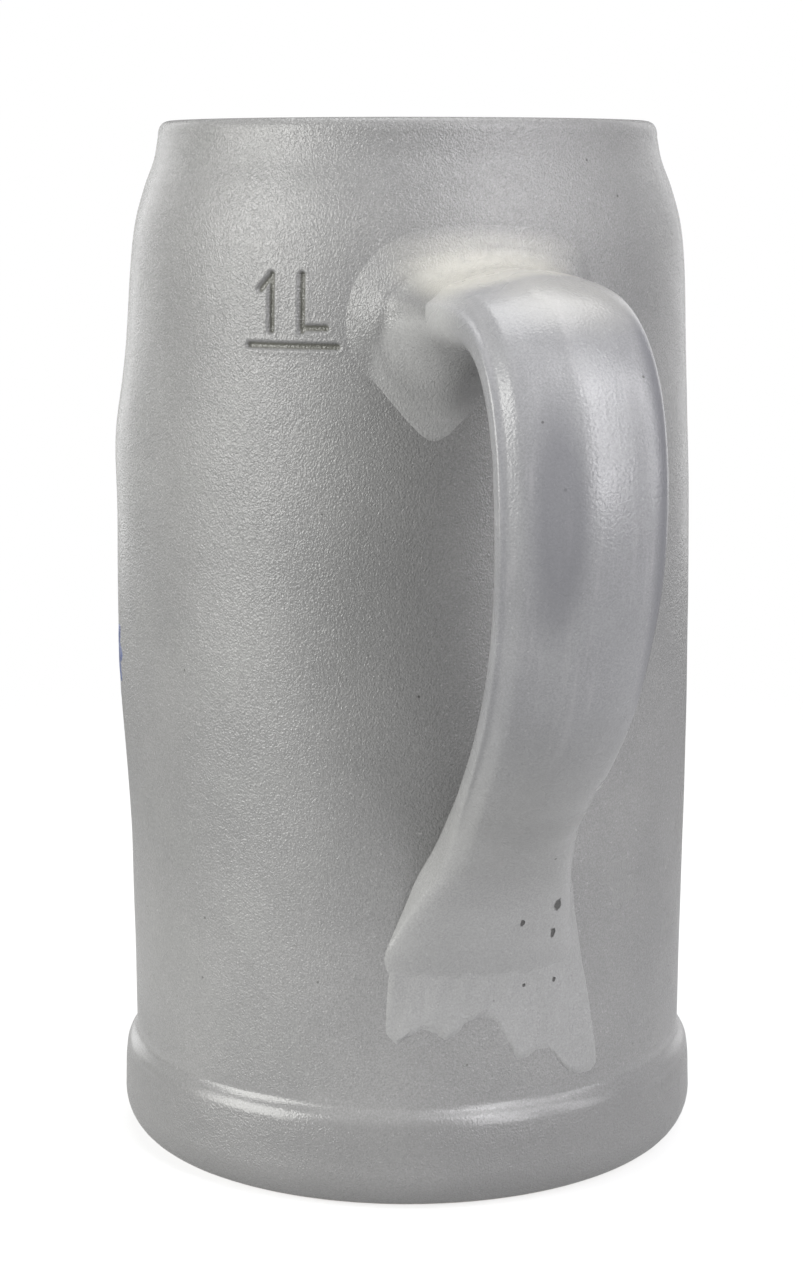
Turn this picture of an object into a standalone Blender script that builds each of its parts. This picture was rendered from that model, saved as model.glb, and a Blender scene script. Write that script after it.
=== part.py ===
"""Lidless one-litre stoneware beer stein.

The mug is built the way a pottery makes it. A turned body carries a strap handle. The handle
is luted on with two beds of clay slip, one at its upper root and one under its tail.

Frame: metres, +Z up. The origin is the centre of the underside, on the body's turning axis.
The handle points along +X. Angles round the wall are measured from +X towards +Y.
"""

import math

import bmesh
import bpy

# ---------------------------------------------------------------- driving dimensions, in metres

MUG_HEIGHT = 0.192
LIP_CROWN = 0.0030              # height of the rounded top of the lip
LIP_START = MUG_HEIGHT - LIP_CROWN
GAP = 0.0003                    # clearance kept between two pieces that touch

# Outer wall: (height, radius), from the foot band's groove to the lip.
WALL_STATIONS = (
    (0.0206, 0.0529),
    (0.0320, 0.0530),
    (0.0560, 0.0533),
    (0.0880, 0.0536),
    (0.1240, 0.0533),
    (0.1500, 0.0523),
    (0.1650, 0.0517),
    (0.1735, 0.0508),
    (0.1800, 0.0490),
    (0.1850, 0.0471),
    (LIP_START, 0.0463),
)
GROOVE_HEIGHT = WALL_STATIONS[0][0]

# Foot band: (height, radius), from the groove down to where the lower edge starts to round.
BAND_STATIONS = (
    (0.0196, 0.0531),
    (0.0183, 0.0537),
    (0.0164, 0.0543),
    (0.0135, 0.0549),
    (0.0100, 0.0552),
    (0.0070, 0.0553),
)
FOOT_CONTACT_RADIUS = 0.0498    # the flat underside's edge
FOOT_EDGE_HEIGHT = 0.0070       # where the band's side turns into its rounded lower edge

WALL_THICKNESS = 0.0064
LIP_THICKNESS = 0.0050
LIP_SQUARENESS = 2.5            # 2 is a half ellipse, more is squarer
FLOOR_THICKNESS = 0.0085
FLOOR_FILLET = 0.0080
THINNING_START = 0.1640         # the wall thins from here up to the lip

INNER_HEIGHTS = (0.050, 0.090, 0.125, 0.155, 0.167, 0.174, 0.180, 0.185, LIP_START)

TURN_STEPS = 72
LIP_STEPS = 8
FLOOR_FILLET_STEPS = 5
FOOT_EDGE_STEPS = 6

# Soft swell of the wall on the front half, away from the handle.
SWELL_DEPTH = 0.0016
SWELL_HEIGHTS = (0.055, 0.095, 0.115, 0.175)    # starts, full, still full, gone
SWELL_CROWN_DEPTH = 0.0009
SWELL_CROWN_HEIGHT = 0.1345
SWELL_CROWN_SPREAD = 0.0095
SWELL_ANGLES = (math.radians(72.0), math.radians(104.0))    # starts, full, from the handle

# Impressed capacity mark: a fill line with 1 L above it.
MARK_ANGLE = math.radians(-38.5)
FILL_HEIGHT = 0.1535
MARK_DEPTH = 0.0006
MARK_STROKE = 0.0011
MARK_LETTER_HEIGHT = 0.0095
MARK_LETTER_RISE = 0.0026       # space between the fill line and the letters
MARK_LINE_LENGTH = 0.0165
MARK_STROKE_STEP = 0.0020       # longest straight piece of a stroke bent round the wall
MARK_CUTTER_RISE = 0.0010       # how far a stroke's cutter stands out of the wall

# Handle strap along its middle: distance from the axis, height, half width, half thickness,
# sideways shift, and how far the section wraps round the wall (0 straight, 1 wrapped).
HANDLE_STATIONS = (
    (0.0455, 0.1588, 0.0152, 0.0080, 0.0000, 0.0),
    (0.0540, 0.1593, 0.0150, 0.0076, 0.0000, 0.0),
    (0.0660, 0.1599, 0.0148, 0.0070, 0.0000, 0.0),
    (0.0780, 0.1590, 0.0145, 0.0066, 0.0000, 0.0),
    (0.0866, 0.1554, 0.0143, 0.0064, 0.0000, 0.0),
    (0.0926, 0.1490, 0.0142, 0.0062, 0.0000, 0.0),
    (0.0960, 0.1405, 0.0141, 0.0060, 0.0000, 0.0),
    (0.0971, 0.1300, 0.0140, 0.0060, 0.0000, 0.0),
    (0.0962, 0.1195, 0.0137, 0.0060, 0.0000, 0.0),
    (0.0931, 0.1090, 0.0132, 0.0060, 0.0000, 0.0),
    (0.0878, 0.0984, 0.0128, 0.0060, 0.0000, 0.0),
    (0.0805, 0.0891, 0.0122, 0.0060, 0.0000, 0.0),
    (0.0718, 0.0808, 0.0116, 0.0059, 0.0002, 0.0),
    (0.0633, 0.0733, 0.0114, 0.0057, 0.0008, 0.1),
    (0.0573, 0.0657, 0.0123, 0.0052, 0.0010, 0.4),
    (0.0541, 0.0588, 0.0143, 0.0043, 0.0002, 0.8),
    (0.0528, 0.0525, 0.0160, 0.0035, -0.0006, 1.0),
    (0.0524, 0.0470, 0.0173, 0.0028, -0.0014, 1.0),
)
HANDLE_SPANS = 3                # sections between two stations
HANDLE_RING = 28                # points round a section
SECTION_SQUARENESS = 2.5
# Flutes on the outer face: (place across the width, spread, height); -1 is the -Y edge.
FLUTES = (
    (-0.80, 0.16, 0.0010),
    (-0.36, 0.24, -0.0009),
    (0.36, 0.34, 0.0008),
    (0.90, 0.10, -0.0004),
)

# Slip beds, drawn on the unrolled wall: (distance round the wall from the handle, height).
UPPER_SLIP_CENTRE = (0.000, 0.159)
UPPER_SLIP_OUTLINE = (
    (0.0000, 0.1730),
    (-0.0090, 0.1728),
    (-0.0165, 0.1708),
    (-0.0220, 0.1655),
    (-0.0243, 0.1585),
    (-0.0233, 0.1520),
    (-0.0185, 0.1445),
    (-0.0125, 0.1395),
    (-0.0085, 0.1378),
    (-0.0020, 0.1415),
    (0.0070, 0.1435),
    (0.0150, 0.1480),
    (0.0190, 0.1550),
    (0.0190, 0.1630),
    (0.0155, 0.1695),
    (0.0085, 0.1725),
)
UPPER_ROOT = (0.000, 0.1590, 0.0155, 0.0082)    # centre and half sizes where the strap leaves

LOWER_SLIP_CENTRE = (0.000, 0.056)
LOWER_SLIP_OUTLINE = (
    (0.0010, 0.0868),
    (-0.0065, 0.0850),
    (-0.0098, 0.0800),
    (-0.0110, 0.0730),
    (-0.0120, 0.0650),
    (-0.0142, 0.0585),
    (-0.0166, 0.0530),
    (-0.0188, 0.0475),
    (-0.0187, 0.0410),
    (-0.0184, 0.0325),
    (-0.0150, 0.0292),
    (-0.0095, 0.0304),
    (-0.0045, 0.0312),
    (0.0000, 0.0288),
    (0.0045, 0.0300),
    (0.0090, 0.0268),
    (0.0150, 0.0238),
    (0.0205, 0.0243),
    (0.0190, 0.0350),
    (0.0168, 0.0500),
    (0.0152, 0.0640),
    (0.0138, 0.0750),
    (0.0085, 0.0845),
)
LOWER_ROOT = (0.0010, 0.0760, 0.0118, 0.0065)

SLIP_BED = 0.0005               # slip left between the wall and the handle
SLIP_WASH = 0.0007              # slip smeared over the wall round the joint
SLIP_EDGE = 0.0003              # thickness at the outer edge of the smear
UPPER_COLLAR = 0.0034           # extra height of the fillet against the strap
LOWER_COLLAR = 0.0022
COLLAR_REACH = 0.0034
SLIP_RINGS = 8
SLIP_POINTS_PER_SPAN = 2
SLIP_COLOURS = {
    "upper_joint_slip": (0.55, 0.53, 0.50),
    "lower_joint_slip": (0.36, 0.36, 0.36),
}


# ---------------------------------------------------------------- scene helpers

def clear_scene():
    for item in list(bpy.data.objects):
        bpy.data.objects.remove(item, do_unlink=True)


def new_collection(name):
    collection = bpy.data.collections.new(name)
    bpy.context.scene.collection.children.link(collection)
    return collection


def stoneware(name, colour, roughness):
    """A plain fired-clay material."""
    material = bpy.data.materials.new(name)
    material.use_nodes = True
    shader = material.node_tree.nodes["Principled BSDF"]
    shader.inputs["Base Color"].default_value = (*colour, 1.0)
    shader.inputs["Roughness"].default_value = roughness
    shader.inputs["Metallic"].default_value = 0.0
    return material


def add_object(name, mesh, collection, material=None):
    item = bpy.data.objects.new(name, mesh)
    collection.objects.link(item)
    if material:
        mesh.materials.append(material)
    return item


def make_cutter(item):
    item.hide_render = True
    item.display_type = "WIRE"
    return item


def cut_with(item, cutter):
    """Cut the cutter's shape out of the item."""
    modifier = item.modifiers.new("cut_" + cutter.name, "BOOLEAN")
    modifier.operation = "DIFFERENCE"
    modifier.solver = "EXACT"
    modifier.object = cutter


def shade_round(mesh):
    mesh.shade_smooth()
    mesh.set_sharp_from_angle(angle=math.radians(40.0))


# ---------------------------------------------------------------- curves and rules

def smooth_step(start, end, value):
    t = min(max((value - start) / (end - start), 0.0), 1.0)
    return t * t * (3.0 - 2.0 * t)


def spline_point(before, first, second, after, t):
    """Catmull-Rom blend of four rows of numbers, between the two in the middle."""
    blended = []
    for a, b, c, d in zip(before, first, second, after):
        value = 2.0 * b + (c - a) * t
        value += (2.0 * a - 5.0 * b + 4.0 * c - d) * t * t
        value += (3.0 * b - 3.0 * c + d - a) * t * t * t
        blended.append(0.5 * value)
    return blended


def spline_rows(rows, spans, closed=False):
    """A smooth curve through the rows, with a number of spans between each two."""
    count = len(rows)
    points = []
    for index in range(count if closed else count - 1):
        if closed:
            around = [rows[(index + k) % count] for k in (-1, 0, 1, 2)]
        else:
            around = [rows[min(max(index + k, 0), count - 1)] for k in (-1, 0, 1, 2)]
        for step in range(spans):
            points.append(spline_point(*around, step / spans))
    if not closed:
        points.append(list(rows[-1]))
    return points


def wall_radius(height):
    """Radius of the outer wall at a height, smooth through the wall's stations."""
    rows = WALL_STATIONS
    if height <= rows[0][0]:
        return rows[0][1]
    if height >= rows[-1][0]:
        return rows[-1][1]
    slopes = []
    for index in range(len(rows)):
        low = rows[max(index - 1, 0)]
        high = rows[min(index + 1, len(rows) - 1)]
        slopes.append((high[1] - low[1]) / (high[0] - low[0]))
    index = max(k for k in range(len(rows) - 1) if rows[k][0] <= height)
    span = rows[index + 1][0] - rows[index][0]
    t = (height - rows[index][0]) / span
    radius = (2.0 * t ** 3 - 3.0 * t ** 2 + 1.0) * rows[index][1]
    radius += (t ** 3 - 2.0 * t ** 2 + t) * span * slopes[index]
    radius += (3.0 * t ** 2 - 2.0 * t ** 3) * rows[index + 1][1]
    radius += (t ** 3 - t ** 2) * span * slopes[index + 1]
    return radius


def wall_heights():
    """Heights at which the outer wall is modelled, from the groove up."""
    return [row[0] for row in spline_rows(WALL_STATIONS, 2)]


def inner_radius(height):
    """Radius of the inside, which ignores the foot band and thins towards the lip."""
    thinning = smooth_step(THINNING_START, LIP_START, height)
    thickness = WALL_THICKNESS + (LIP_THICKNESS - WALL_THICKNESS) * thinning
    return wall_radius(height) - thickness


def swell(angle, height):
    """How far the wall stands out on the front half of the mug."""
    start, full, still_full, gone = SWELL_HEIGHTS
    broad = smooth_step(start, full, height) * (1.0 - smooth_step(still_full, gone, height))
    crown = math.exp(-((height - SWELL_CROWN_HEIGHT) / SWELL_CROWN_SPREAD) ** 2)
    depth = SWELL_DEPTH * broad + SWELL_CROWN_DEPTH * crown
    return depth * smooth_step(*SWELL_ANGLES, abs(angle))


# ---------------------------------------------------------------- turned shapes

def turned_object(name, profile, collection):
    """Turn (radius, height) points about the axis. They run down the outer side."""
    mesh = bpy.data.meshes.new(name)
    points = [(radius, 0.0, height) for radius, height in profile]
    edges = [(index, index + 1) for index in range(len(points) - 1)]
    mesh.from_pydata(points, edges, [])
    item = add_object(name, mesh, collection)
    screw = item.modifiers.new("turn", "SCREW")
    screw.axis = "Z"
    screw.angle = math.tau
    screw.steps = TURN_STEPS
    screw.render_steps = TURN_STEPS
    screw.use_merge_vertices = True
    screw.merge_threshold = 0.00001
    return item


def as_mesh_object(item, collection):
    """Replace an object with modifiers by the mesh that they make."""
    name = item.name
    depsgraph = bpy.context.evaluated_depsgraph_get()
    mesh = bpy.data.meshes.new_from_object(item.evaluated_get(depsgraph))
    bpy.data.objects.remove(item, do_unlink=True)
    mesh.name = name
    return add_object(name, mesh, collection)


def lip_points():
    """The rounded lip, from its inner side over the top to its outer side."""
    inner = inner_radius(LIP_START)
    middle = (inner + wall_radius(LIP_START)) / 2.0
    half = LIP_THICKNESS / 2.0
    points = []
    for step in range(1, LIP_STEPS):
        angle = math.pi * (1.0 - step / LIP_STEPS)
        across = math.copysign(abs(math.cos(angle)) ** (2.0 / LIP_SQUARENESS), math.cos(angle))
        rise = abs(math.sin(angle)) ** (2.0 / LIP_SQUARENESS)
        points.append((middle + half * across, LIP_START + LIP_CROWN * rise))
    return points


def body_profile():
    """Half section of the mug: floor, inside, lip, outside, foot band, underside."""
    corner_radius = inner_radius(FLOOR_THICKNESS + FLOOR_FILLET)
    profile = [(0.0, FLOOR_THICKNESS)]
    for step in range(FLOOR_FILLET_STEPS + 1):
        angle = math.pi / 2.0 * step / FLOOR_FILLET_STEPS
        across = corner_radius - FLOOR_FILLET * (1.0 - math.sin(angle))
        height = FLOOR_THICKNESS + FLOOR_FILLET * (1.0 - math.cos(angle))
        profile.append((across, height))
    for height in INNER_HEIGHTS:
        profile.append((inner_radius(height), height))
    profile += lip_points()
    for height in reversed(wall_heights()):
        profile.append((wall_radius(height), height))
    for height, radius in BAND_STATIONS:
        profile.append((radius, height))
    band_radius = BAND_STATIONS[-1][1]
    for step in range(1, FOOT_EDGE_STEPS + 1):
        angle = math.pi / 2.0 * step / FOOT_EDGE_STEPS
        across = FOOT_CONTACT_RADIUS + (band_radius - FOOT_CONTACT_RADIUS) * math.cos(angle)
        profile.append((across, FOOT_EDGE_HEIGHT * (1.0 - math.sin(angle))))
    profile.append((0.0, 0.0))
    return profile


def wall_cutter(name, offset, collection):
    """A solid with the outer wall's shape, grown by the offset."""
    profile = [(0.0, MUG_HEIGHT)]
    for height in reversed(wall_heights()):
        profile.append((wall_radius(height) + offset, height))
    profile.append((0.0, GROOVE_HEIGHT))
    return make_cutter(turned_object(name, profile, collection))


def swell_front(mesh):
    """Push the outer wall out by the swell."""
    for vertex in mesh.vertices:
        x, y, z = vertex.co
        radius = math.hypot(x, y)
        if z <= GROOVE_HEIGHT or radius < wall_radius(z) - LIP_THICKNESS / 2.0:
            continue
        push = swell(math.atan2(y, x), z)
        vertex.co.x += push * x / radius
        vertex.co.y += push * y / radius


# ---------------------------------------------------------------- shapes on the wall

def on_wall(around, height, offset, start_angle=0.0):
    """The point at a distance round the wall, standing off it by the offset."""
    radius = wall_radius(height)
    angle = start_angle + around / radius
    reach = radius + offset
    return (reach * math.cos(angle), reach * math.sin(angle), height)


def mesh_from_faces(name, points, faces):
    mesh = bpy.data.meshes.new(name)
    mesh.from_pydata(points, [], faces)
    builder = bmesh.new()
    builder.from_mesh(mesh)
    bmesh.ops.recalc_face_normals(builder, faces=builder.faces)
    builder.to_mesh(mesh)
    builder.free()
    return mesh


def stroke_cutter(name, start, end, collection):
    """A bar that cuts one stroke of the capacity mark into the wall."""
    length = math.hypot(end[0] - start[0], end[1] - start[1])
    along = ((end[0] - start[0]) / length, (end[1] - start[1]) / length)
    aside = (-along[1] * MARK_STROKE / 2.0, along[0] * MARK_STROKE / 2.0)
    steps = max(1, round(length / MARK_STROKE_STEP))
    points = []
    for step in range(steps + 1):
        place = (start[0] + (end[0] - start[0]) * step / steps,
                 start[1] + (end[1] - start[1]) * step / steps)
        for side, offset in ((-1, -MARK_DEPTH), (1, -MARK_DEPTH), (1, MARK_CUTTER_RISE),
                             (-1, MARK_CUTTER_RISE)):
            around = place[0] + side * aside[0]
            height = place[1] + side * aside[1]
            points.append(on_wall(around, height, offset, MARK_ANGLE))
    faces = [(0, 1, 2, 3), tuple(4 * steps + k for k in (3, 2, 1, 0))]
    for step in range(steps):
        for k in range(4):
            a = 4 * step + k
            b = 4 * step + (k + 1) % 4
            faces.append((a, a + 4, b + 4, b))
    item = add_object(name, mesh_from_faces(name, points, faces), collection)
    return make_cutter(item)


def capacity_mark_cutters(collection):
    """Cutters for the fill line and for the figure one and the letter L above it."""
    base = FILL_HEIGHT + MARK_LETTER_RISE
    top = base + MARK_LETTER_HEIGHT
    half_line = MARK_LINE_LENGTH / 2.0
    strokes = {
        "fill_line": ((-half_line, FILL_HEIGHT), (half_line, FILL_HEIGHT)),
        "one_stem": ((-0.0040, base), (-0.0040, top)),
        "one_flag": ((-0.0062, top - 0.0026), (-0.0041, top - 0.0006)),
        "l_stem": ((0.0018, base), (0.0018, top)),
        "l_foot": ((0.0014, base + MARK_STROKE / 2.0), (0.0062, base + MARK_STROKE / 2.0)),
    }
    return [stroke_cutter(name, *ends, collection) for name, ends in strokes.items()]


# ---------------------------------------------------------------- handle

def flute_height(across):
    """Relief of the strap's outer face at a place across its width, from -1 to 1."""
    height = 0.0
    for place, spread, rise in FLUTES:
        height += rise * math.exp(-((across - place) / spread) ** 2)
    return height


def strap_section(row, tangent, grow):
    """One ring of points round the strap."""
    reach, height, half_width, half_thickness, shift, wrap = row
    half_width += grow
    half_thickness += grow
    outward = (tangent[1], -tangent[0])
    wall = wall_radius(height)
    points = []
    for step in range(HANDLE_RING):
        angle = math.tau * step / HANDLE_RING
        sine, cosine = math.sin(angle), math.cos(angle)
        across = math.copysign(abs(sine) ** (2.0 / SECTION_SQUARENESS), sine)
        out = math.copysign(abs(cosine) ** (2.0 / SECTION_SQUARENESS), cosine)
        stand_out = half_thickness * out
        if cosine > 0.0:
            relief = min(1.0, half_thickness / 0.006)
            stand_out += relief * flute_height(across) * smooth_step(0.0, 0.5, cosine)
        sideways = half_width * across + shift
        drop = wrap * (wall - math.sqrt(wall ** 2 - sideways ** 2))
        x = reach + outward[0] * stand_out - drop
        z = height + outward[1] * stand_out
        points.append((x, sideways, z))
    return points


def strap_mesh(name, grow):
    """The strap as a loft of rings, grown by a margin on all sides."""
    rows = spline_rows(HANDLE_STATIONS, HANDLE_SPANS)
    points = []
    for index, row in enumerate(rows):
        before = rows[max(index - 1, 0)]
        after = rows[min(index + 1, len(rows) - 1)]
        run = (after[0] - before[0], after[1] - before[1])
        length = math.hypot(*run)
        tangent = (-run[0] / length, -run[1] / length)
        if index == len(rows) - 1:
            row = [row[0], row[1] - grow] + list(row[2:])
        points += strap_section(row, tangent, grow)
    last = len(points) - HANDLE_RING
    faces = [tuple(range(HANDLE_RING)), tuple(range(last, last + HANDLE_RING))]
    for index in range(len(rows) - 1):
        for step in range(HANDLE_RING):
            a = index * HANDLE_RING + step
            b = index * HANDLE_RING + (step + 1) % HANDLE_RING
            faces.append((a, b, b + HANDLE_RING, a + HANDLE_RING))
    return mesh_from_faces(name, points, faces)


# ---------------------------------------------------------------- slip beds

def slip_thickness(around, height, root, collar_height, edge):
    """Thickness of the slip at a place: a thin smear with a fillet round the strap."""
    centre_around, centre_height, half_around, half_height = root
    from_root = math.hypot((around - centre_around) / half_around,
                           (height - centre_height) / half_height)
    distance = max(0.0, (from_root - 1.0) * min(half_around, half_height))
    collar = collar_height * math.exp(-(distance / COLLAR_REACH) ** 2)
    inside = smooth_step(0.0, 0.35, 1.0 - edge)
    return SLIP_EDGE + (SLIP_WASH - SLIP_EDGE + collar) * inside


def slip_mesh(name, centre, outline, root, collar_height):
    """A closed pad on the wall inside the outline."""
    border = spline_rows(outline, SLIP_POINTS_PER_SPAN, closed=True)
    count = len(border)
    places = [tuple(centre)]
    thickness = [slip_thickness(*centre, root, collar_height, 0.0)]
    for ring in range(1, SLIP_RINGS + 1):
        edge = math.sin(math.pi / 2.0 * ring / SLIP_RINGS)
        for around, height in border:
            place = (centre[0] + (around - centre[0]) * edge,
                     centre[1] + (height - centre[1]) * edge)
            places.append(place)
            thickness.append(slip_thickness(*place, root, collar_height, edge))
    under = [on_wall(*place, GAP) for place in places]
    over = [on_wall(*place, GAP + rise) for place, rise in zip(places, thickness)]
    offset = len(places)
    faces = []
    for side in (0, offset):
        for step in range(count):
            following = (step + 1) % count
            faces.append((side, side + 1 + step, side + 1 + following))
            for ring in range(SLIP_RINGS - 1):
                a = side + 1 + ring * count
                b = a + count
                faces.append((a + step, b + step, b + following, a + following))
    rim = 1 + (SLIP_RINGS - 1) * count
    for step in range(count):
        following = (step + 1) % count
        faces.append((rim + step, rim + following, rim + following + offset,
                      rim + step + offset))
    return mesh_from_faces(name, under + over, faces)


# ---------------------------------------------------------------- the pieces

def build_mug_body(parts, cutters):
    """The turned vessel: floor, wall, lip and foot band in one clay."""
    body = as_mesh_object(turned_object("mug_body", body_profile(), parts), parts)
    body.data.materials.append(stoneware("body_stoneware", (0.30, 0.30, 0.295), 0.42))
    swell_front(body.data)
    shade_round(body.data)
    for cutter in capacity_mark_cutters(cutters):
        cut_with(body, cutter)


def build_handle(parts, cutters):
    """The strap handle, cut off where it lands on its slip beds."""
    material = stoneware("handle_stoneware", (0.34, 0.34, 0.345), 0.36)
    handle = add_object("handle_strap", strap_mesh("handle_strap", 0.0), parts, material)
    shade_round(handle.data)
    cut_with(handle, wall_cutter("wall_under_handle", GAP + SLIP_BED + GAP, cutters))


def build_slip_beds(parts, cutters):
    """The two beds of luting slip, each with a pocket that the strap sits in."""
    grown_strap = add_object("grown_strap", strap_mesh("grown_strap", GAP), cutters)
    make_cutter(grown_strap)
    cut_with(grown_strap, wall_cutter("wall_under_strap", GAP + SLIP_BED, cutters))
    beds = (
        ("upper_joint_slip", UPPER_SLIP_CENTRE, UPPER_SLIP_OUTLINE, UPPER_ROOT, UPPER_COLLAR),
        ("lower_joint_slip", LOWER_SLIP_CENTRE, LOWER_SLIP_OUTLINE, LOWER_ROOT, LOWER_COLLAR),
    )
    for name, centre, outline, root, collar_height in beds:
        mesh = slip_mesh(name, centre, outline, root, collar_height)
        material = stoneware(name + "_glaze", SLIP_COLOURS[name], 0.45)
        bed = add_object(name, mesh, parts, material)
        shade_round(bed.data)
        cut_with(bed, grown_strap)


def main():
    clear_scene()
    parts = new_collection("beer_stein")
    cutters = new_collection("beer_stein_cutters")
    build_mug_body(parts, cutters)
    build_handle(parts, cutters)
    build_slip_beds(parts, cutters)


main()
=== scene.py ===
"""Looks of the lidless stoneware beer stein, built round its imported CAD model.

Everything is in metres in the CAD's own frame: +Z up, the origin under the middle of the mug, the
handle along +X. Angles round the wall are measured from +X towards +Y.
"""

import math

import bmesh
import bpy
import numpy as np
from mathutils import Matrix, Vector


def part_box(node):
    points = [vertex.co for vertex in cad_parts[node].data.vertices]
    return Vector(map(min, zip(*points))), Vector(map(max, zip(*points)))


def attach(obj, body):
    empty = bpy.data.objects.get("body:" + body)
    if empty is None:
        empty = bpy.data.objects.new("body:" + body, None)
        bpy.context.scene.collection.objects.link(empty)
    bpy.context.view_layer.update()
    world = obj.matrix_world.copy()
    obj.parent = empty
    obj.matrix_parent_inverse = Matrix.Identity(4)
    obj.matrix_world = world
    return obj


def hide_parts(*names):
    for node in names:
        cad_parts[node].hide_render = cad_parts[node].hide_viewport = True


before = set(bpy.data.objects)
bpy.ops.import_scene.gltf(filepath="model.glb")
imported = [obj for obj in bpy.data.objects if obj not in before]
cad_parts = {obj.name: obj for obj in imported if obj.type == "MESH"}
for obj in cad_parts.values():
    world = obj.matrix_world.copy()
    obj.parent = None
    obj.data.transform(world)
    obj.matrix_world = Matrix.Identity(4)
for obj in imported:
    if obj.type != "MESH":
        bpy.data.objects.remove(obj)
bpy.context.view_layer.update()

# ---------------- sizes from the frame

MM = 0.001
BODY_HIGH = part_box("mug_body")[1]
MUG_HEIGHT = BODY_HIGH.z
BAND_RADIUS = BODY_HIGH.x

# ---------------- shape of the wall

# (height, radius) from the foot band's groove to the start of the lip.
WALL_STATIONS = np.array((
    (20.6, 52.9), (32.0, 53.0), (56.0, 53.3), (88.0, 53.6), (124.0, 53.3), (150.0, 52.3),
    (165.0, 51.7), (173.5, 50.8), (180.0, 49.0), (185.0, 47.1), (189.0, 46.3),
)) * MM
LIP_START = WALL_STATIONS[-1, 0]
GROOVE_HEIGHT = WALL_STATIONS[0, 0]

# (height, radius) from the foot's rounded edge up to the groove.
BAND_STATIONS = np.array((
    (7.0, BAND_RADIUS / MM), (10.0, 55.2), (13.0, 55.1), (15.0, 54.9), (16.2, 54.7), (17.3, 54.2),
    (18.1, 53.5), (18.9, 53.0), (20.6, 52.9),
)) * MM
FOOT_CONTACT_RADIUS = 0.0498
FOOT_EDGE_HEIGHT = BAND_STATIONS[0, 0]
FOOT_SKIN_RADIUS = 0.0525  # rows further out belong to the foot's outer face
BARE_CLAY_HEIGHT = 0.0009  # how far up the foot's rounded edge the glaze was wiped off
BAND_WAVER_HEIGHT = 0.0150
BAND_WAVER_SPREAD = 0.0045

WALL_THICKNESS = 0.0064
LIP_THICKNESS = 0.0050
LIP_CROWN = MUG_HEIGHT - LIP_START
LIP_SQUARENESS = 2.5
FLOOR_THICKNESS = 0.0085
FLOOR_FILLET = 0.0080
THINNING_START = 0.1640  # the wall thins from here up to the lip
HUB_RADIUS = 0.0015  # smallest ring of the underside's and the floor's meshes

# A soft swell over the front half, with a narrower crown: heights where the swell starts, is
# full, is still full and is gone, and the angles from the handle where it starts and is full.
SWELL_DEPTH = 0.0016
SWELL_HEIGHTS = (0.055, 0.095, 0.115, 0.175)
SWELL_CROWN_DEPTH = 0.0009
SWELL_CROWN_HEIGHT = 0.1345
SWELL_CROWN_SPREAD = 0.0095
SWELL_ANGLES = (math.radians(72.0), math.radians(104.0))
WAVER = 0.00007

# Impressed capacity mark: a fill line with 1 L above it, as (start, end) on the unrolled wall.
MARK_ANGLE = math.radians(-38.5)
FILL_HEIGHT = 0.1535
MARK_DEPTH = 0.00065
MARK_HALF_STROKE = 0.00052
MARK_HALF_ANGLE = 0.185
MARK_RIDGE = 0.00007
MARK_RIDGE_SPREAD = 0.00035
MARK_BASE = FILL_HEIGHT + 0.0026
MARK_TOP = MARK_BASE + 0.0095
MARK_STROKES = (
    ((-0.00825, FILL_HEIGHT), (0.00825, FILL_HEIGHT)),
    ((-0.0040, MARK_BASE), (-0.0040, MARK_TOP)),
    ((-0.0062, MARK_TOP - 0.0026), (-0.0041, MARK_TOP - 0.0003)),
    ((0.0018, MARK_BASE), (0.0018, MARK_TOP)),
    ((0.0018, MARK_BASE + 0.0005), (0.0062, MARK_BASE + 0.0005)),
)


# ---------------- curves and rules

def smooth_step(start, end, value):
    """0 at the start, 1 at the end, level at both."""
    t = np.clip((value - start) / (end - start), 0.0, 1.0)
    return t * t * (3.0 - 2.0 * t)


def smooth_curve(rows, at):
    """Cubic through (place, value) rows, with slopes taken from each row's neighbours."""
    at = np.clip(at, rows[0, 0], rows[-1, 0])
    count = len(rows)
    low = np.maximum(np.arange(count) - 1, 0)
    high = np.minimum(np.arange(count) + 1, count - 1)
    slopes = (rows[high, 1] - rows[low, 1]) / (rows[high, 0] - rows[low, 0])
    index = np.clip(np.searchsorted(rows[:, 0], at, side="right") - 1, 0, count - 2)
    span = rows[index + 1, 0] - rows[index, 0]
    t = (at - rows[index, 0]) / span
    value = (2.0 * t ** 3 - 3.0 * t ** 2 + 1.0) * rows[index, 1]
    value = value + (t ** 3 - 2.0 * t ** 2 + t) * span * slopes[index]
    value = value + (3.0 * t ** 2 - 2.0 * t ** 3) * rows[index + 1, 1]
    return value + (t ** 3 - t ** 2) * span * slopes[index + 1]


def spline_rows(rows, spans, closed=False):
    """Catmull-Rom curve through rows of numbers, with a number of spans between each two."""
    rows = np.asarray(rows, float)
    ends = (rows[-1:], rows[:2]) if closed else (rows[:1], rows[-1:])
    knots = np.concatenate([ends[0], rows, ends[1]])
    t = (np.arange(spans) / spans)[:, None]
    pieces = []
    for a, b, c, d in zip(knots, knots[1:], knots[2:], knots[3:]):
        piece = 2.0 * b + (c - a) * t
        piece = piece + (2.0 * a - 5.0 * b + 4.0 * c - d) * t ** 2
        piece = piece + (3.0 * b - 3.0 * c + d - a) * t ** 3
        pieces.append(0.5 * piece)
    if not closed:
        pieces.append(rows[-1:])
    return np.concatenate(pieces)


def wall_radius(height):
    """Radius of the outer wall before its swell."""
    return smooth_curve(WALL_STATIONS, height)


def inner_radius(height):
    """Radius of the inside above its floor fillet."""
    thinning = smooth_step(THINNING_START, LIP_START, height)
    thickness = WALL_THICKNESS + (LIP_THICKNESS - WALL_THICKNESS) * thinning
    return wall_radius(height) - thickness


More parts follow.
